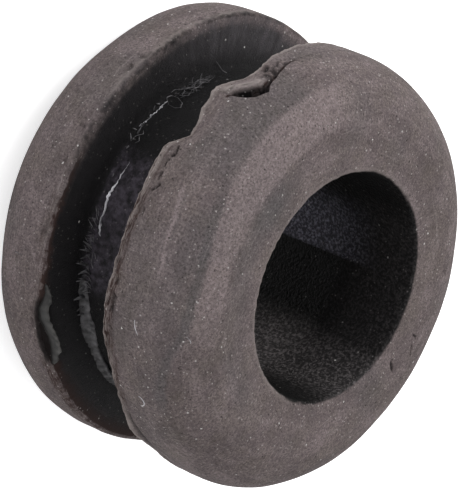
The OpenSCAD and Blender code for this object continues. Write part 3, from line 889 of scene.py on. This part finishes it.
# Hairs and curls that lie in the groove
LOOPS = (
    ((-127.0, 7.56, 5.07, 1.0), (-127.9, 7.58, 5.32, 1.2), (-129.9, 7.6, 5.21, 1.2),
     (-131.6, 7.58, 4.7, 1.2)),
    ((-127.0, 7.56, 5.07, 1.0), (-127.3, 7.56, 4.68, 1.0), (-129.4, 7.64, 4.32, 1.3),
     (-131.3, 7.6, 4.4, 1.6), (-131.6, 7.58, 4.7, 1.2)),
    ((-131.6, 7.74, 4.36, 0.5), (-133.4, 7.76, 4.4, 0.7), (-135.0, 7.7, 4.66, 0.6)),
    ((-132.6, 7.64, 4.86, 0.7), (-135.5, 7.72, 4.7, 0.8), (-138.6, 7.66, 4.84, 0.8),
     (-142.0, 7.7, 4.62, 0.8), (-146.0, 7.64, 4.78, 0.6)),
    ((-133.6, 7.62, 5.1, 0.6), (-136.4, 7.66, 4.96, 0.8), (-139.0, 7.7, 5.04, 0.7),
     (-142.6, 7.62, 4.82, 0.8), (-145.0, 7.66, 4.9, 0.5)),
    ((-137.0, 7.6, 5.2, 0.6), (-138.4, 7.68, 4.92, 0.8), (-139.6, 7.74, 4.6, 0.8), (-141.6, 7.8, 4.4, 0.6)),
    ((-140.0, 7.6, 5.12, 0.6), (-141.6, 7.7, 4.84, 0.8), (-143.4, 7.72, 4.66, 0.7), (-145.6, 7.8, 4.4, 0.5)),
    ((-153.2, 8.05, 4.3, 1.2), (-154.2, 7.9, 4.33, 1.6), (-155.1, 7.74, 4.36, 1.6), (-155.8, 7.6, 4.4, 1.6),
     (-156.3, 7.55, 4.6, 1.3)),
    ((-134.0, 7.7, 4.5, 0.6), (-136.0, 7.74, 4.62, 0.8), (-138.0, 7.7, 4.98, 0.8), (-140.6, 7.64, 5.2, 0.5)),
    ((-136.0, 7.66, 5.14, 0.6), (-138.6, 7.7, 4.76, 0.8), (-141.0, 7.72, 4.72, 0.8),
     (-144.4, 7.64, 5.06, 0.5)),
    ((-139.0, 7.72, 4.5, 0.6), (-141.0, 7.68, 4.8, 0.8), (-143.6, 7.64, 5.0, 0.8), (-148.0, 7.66, 4.86, 0.5)),
    ((-109.0, 7.6, 4.7, 0.7), (-110.2, 7.64, 4.86, 1.0), (-111.4, 7.62, 4.74, 1.0),
     (-112.4, 7.58, 4.52, 0.7)),
    ((-109.8, 7.58, 4.46, 0.7), (-111.6, 7.66, 4.56, 1.0), (-113.0, 7.64, 4.8, 1.0),
     (-114.2, 7.6, 4.66, 0.7)),
)
# Threads that cling to the front flange
CLINGING = (
    ((-63.4, 10.0, 9.76, 0.4), (-61.8, 10.02, 9.82, 0.6), (-60.6, 10.01, 9.9, 0.6), (-59.7, 9.99, 9.99, 0.3)),
    ((-41.8, 10.0, 9.72, 0.5), (-41.1, 9.99, 9.9, 0.6), (-40.2, 9.98, 9.95, 0.7), (-39.1, 9.99, 9.87, 0.7),
     (-38.7, 10.01, 9.7, 0.5)),
    ((-61.0, 8.9, 11.78, 0.6), (-60.4, 8.82, 11.86, 0.7), (-59.6, 8.76, 11.9, 0.7), (-59.0, 8.74, 11.9, 0.5)),
)
# Frills: direction, radius, height, length, lean, rise, thickness at the foot
FRILLS = (
    (-71.5, 7.46, 4.55, 0.55, -28, -12, 0.07), (-70.0, 7.46, 4.5, 0.6, -8, -10, 0.08),
    (-68.5, 7.46, 4.52, 0.5, 14, -8, 0.07), (-65.0, 7.46, 4.45, 0.65, -14, -8, 0.09),
    (-63.0, 7.46, 4.45, 0.5, 12, -6, 0.08), (-59.5, 7.46, 4.4, 0.55, -6, -4, 0.1),
    (-57.5, 7.46, 4.4, 0.45, 16, 0, 0.09), (-53.5, 7.46, 4.36, 0.68, -4, -2, 0.13),
    (-50.0, 7.5, 4.32, 0.5, 10, 0, 0.1), (-47.0, 7.55, 4.3, 0.42, -12, 0, 0.1),
    (-44.0, 7.55, 4.3, 0.42, 6, 0, 0.09), (-27.0, 7.5, 4.3, 0.35, 8, 0, 0.07),
)
# Lint on the broken seam, and one fibre on the rear flange, in the same columns
THREADS = (
    (-117.0, 7.46, 4.3, 0.42, 40, 20, 0.05), (-115.5, 7.46, 4.35, 0.5, -30, 30, 0.05),
    (-114.0, 7.46, 4.32, 0.4, 20, -5, 0.06), (-112.5, 7.46, 4.38, 0.55, -45, 25, 0.05),
    (-111.0, 7.46, 4.34, 0.45, 35, 40, 0.05), (-109.5, 7.46, 4.36, 0.5, -20, 10, 0.06),
    (-108.0, 7.46, 4.38, 0.4, 50, 25, 0.05), (-122.5, 7.56, 4.3, 0.3, -40, 10, 0.05),
    (-126.0, 7.6, 4.28, 0.3, 45, 15, 0.05), (-97.5, 7.46, 4.42, 0.3, 55, 30, 0.05),
)
REAR_FIBRE = (-67.6, 9.94, 2.45, 0.5, 0, 80, 0.03)
# Brushes of fibres in the groove: first and last direction, how many, radius and height of their feet,
# and about their length, lean, rise and thickness
CORNER_BRUSH = (-83.0, -54.0, 60, 7.46, 4.55, 0.45, -35, 0, 0.024)
FLOOR_BRUSH = (-148.0, -132.0, 40, 7.52, 4.5, 0.4, 0, 60, 0.018)

corner = bmesh.new()
lay_flash(corner, CORNER_BEAD, BEAD, ragged=0.22, seed=1)
for row in FRILLS:
    frill(corner, *row)
add_piece("corner_flash", corner, corner_rubber)

tongue = bmesh.new()
lay_flash(tongue, RIM_TONGUE, TONGUE, ragged=0.25, seed=2)
add_piece("rim_tongue", tongue, rim_rubber)

seam = bmesh.new()
for number, path in enumerate(SEAM):
    lay_flash(seam, SEAM_FIN, path, ragged=0.7, seed=3 + number)
add_piece("groove_seam", seam, pale_flash)

loops = bmesh.new()
for number, path in enumerate(LOOPS):
    lay_flash(loops, HAIR, path, ragged=0.4, seed=11 + number)
add_piece("groove_loops", loops, pale_lint)

threads = bmesh.new()
for row in THREADS:
    frill(threads, *row)
brush(threads, *FLOOR_BRUSH)
brush(threads, *CORNER_BRUSH)
frill(threads, *REAR_FIBRE)
add_piece("groove_lint", threads, grey_lint)

hairs = bmesh.new()
for number, path in enumerate(CLINGING):
    lay_flash(hairs, LOOSE_THREAD, path, ragged=0.4, seed=31 + number)
add_piece("clinging_lint", hairs, pale_flash)

# Floor

FLOOR_SIDE = 0.6
FLOOR_LIFT = 0.6


def pale_floor():
    """A matt white sheet. The camera sees it a little lifted, so that it reads as white and keeps its
    shadow."""
    material, tree, shader = new_material("matt white sheet")
    shader.inputs["Base Color"].default_value = linear("#f4f4f4")
    shader.inputs["Roughness"].default_value = 0.9
    shader.inputs["Emission Color"].default_value = linear("#ffffff")
    path = add(tree, "ShaderNodeLightPath").outputs
    seen = add(tree, "ShaderNodeMath", {0: path["Is Camera Ray"], 1: path["Is Glossy Ray"]},
               operation="MAXIMUM")
    seen = add(tree, "ShaderNodeMath", {0: seen, 1: path["Is Transmission Ray"]}, operation="MAXIMUM")
    lift = add(tree, "ShaderNodeMath", {0: seen, 1: FLOOR_LIFT}, operation="MULTIPLY")
    tree.links.new(lift.outputs[0], shader.inputs["Emission Strength"])
    return material


bm = bmesh.new()
bmesh.ops.create_grid(bm, x_segments=1, y_segments=1, size=FLOOR_SIDE / 2)
floor_mesh = bpy.data.meshes.new("floor")
bm.to_mesh(floor_mesh)
bm.free()
floor_mesh.materials.append(pale_floor())
floor = bpy.data.objects.new("floor", floor_mesh)
bpy.context.scene.collection.objects.link(floor)

# Light: a white room and three soft boxes

ROOM_LIGHT = 0.78
LAMP_DISTANCE = 0.25
# Soft boxes: name, azimuth, elevation, watts, side in metres, colour
SOFT_BOXES = (
    ("cool soft box", 15, 66, 0.025, 0.08, "#eaf1ff"),
    ("low soft box", -112, 16, 0.1, 0.1, "#f1f4ff"),
    ("high soft box", 172, 40, 0.36, 0.14, "#ffffff"),
)

world = bpy.data.worlds.new("white room")
bpy.context.scene.world = world
world.use_nodes = True
room = world.node_tree
room.nodes.clear()
path = add(room, "ShaderNodeLightPath").outputs
seen = add(room, "ShaderNodeMath", {0: path["Is Camera Ray"], 1: path["Is Transmission Ray"]},
           operation="MAXIMUM")
seen = add(room, "ShaderNodeMath", {0: seen, 1: path["Is Glossy Ray"]}, operation="MAXIMUM")
strength = add(room, "ShaderNodeMapRange", {0: seen, 3: ROOM_LIGHT, 4: 1.0})
background = add(room, "ShaderNodeBackground", {"Color": linear("#ffffff"), "Strength": strength})
add(room, "ShaderNodeOutputWorld", {"Surface": background})


def soft_box(name, azimuth, elevation, power, side, colour):
    """A square soft box that faces the part. Azimuth is measured as the part's directions are."""
    lamp = bpy.data.lights.new(name, "AREA")
    lamp.shape = "SQUARE"
    lamp.size = side
    lamp.energy = power
    lamp.color = linear(colour)[:3]
    box = bpy.data.objects.new(name, lamp)
    rise = math.radians(elevation)
    turn = math.radians(azimuth)
    away = Vector((math.cos(rise) * math.cos(turn), math.cos(rise) * math.sin(turn), math.sin(rise)))
    box.location = away * LAMP_DISTANCE + Vector((0, 0, MID_Z * MM))
    box.rotation_euler = away.to_track_quat("Z", "Y").to_euler()
    bpy.context.scene.collection.objects.link(box)


for row in SOFT_BOXES:
    soft_box(*row)

# Camera: fitted to the rims and the bore of the photographed part

TILT = math.radians(52.24)
ROLL = math.radians(22.18)
DISTANCE = 184.0
FOCAL_PX = 4154.0
FRAME_PX = 490
SHIFT_PX = (-3.15, 0.25)
SENSOR = 36.0
right = Vector((-math.sin(ROLL), math.cos(TILT) * math.cos(ROLL), math.sin(TILT) * math.cos(ROLL)))
up = Vector((-math.cos(ROLL), -math.cos(TILT) * math.sin(ROLL), -math.sin(TILT) * math.sin(ROLL)))
back = Vector((0, -math.sin(TILT), math.cos(TILT)))
lens = bpy.data.cameras.new("camera")
lens.sensor_width = SENSOR
lens.lens = FOCAL_PX * SENSOR / FRAME_PX
lens.shift_x = SHIFT_PX[0] / FRAME_PX
lens.shift_y = SHIFT_PX[1] / FRAME_PX
lens.clip_start = 0.01
camera = bpy.data.objects.new("camera", lens)
bpy.context.scene.collection.objects.link(camera)
view = Matrix((right, up, back)).transposed().to_4x4()
view.translation = Vector((0, 0, MID_Z * MM)) + back * DISTANCE * MM
camera.matrix_world = view
bpy.context.scene.camera = camera
bpy.context.scene.view_settings.view_transform = "Standard"
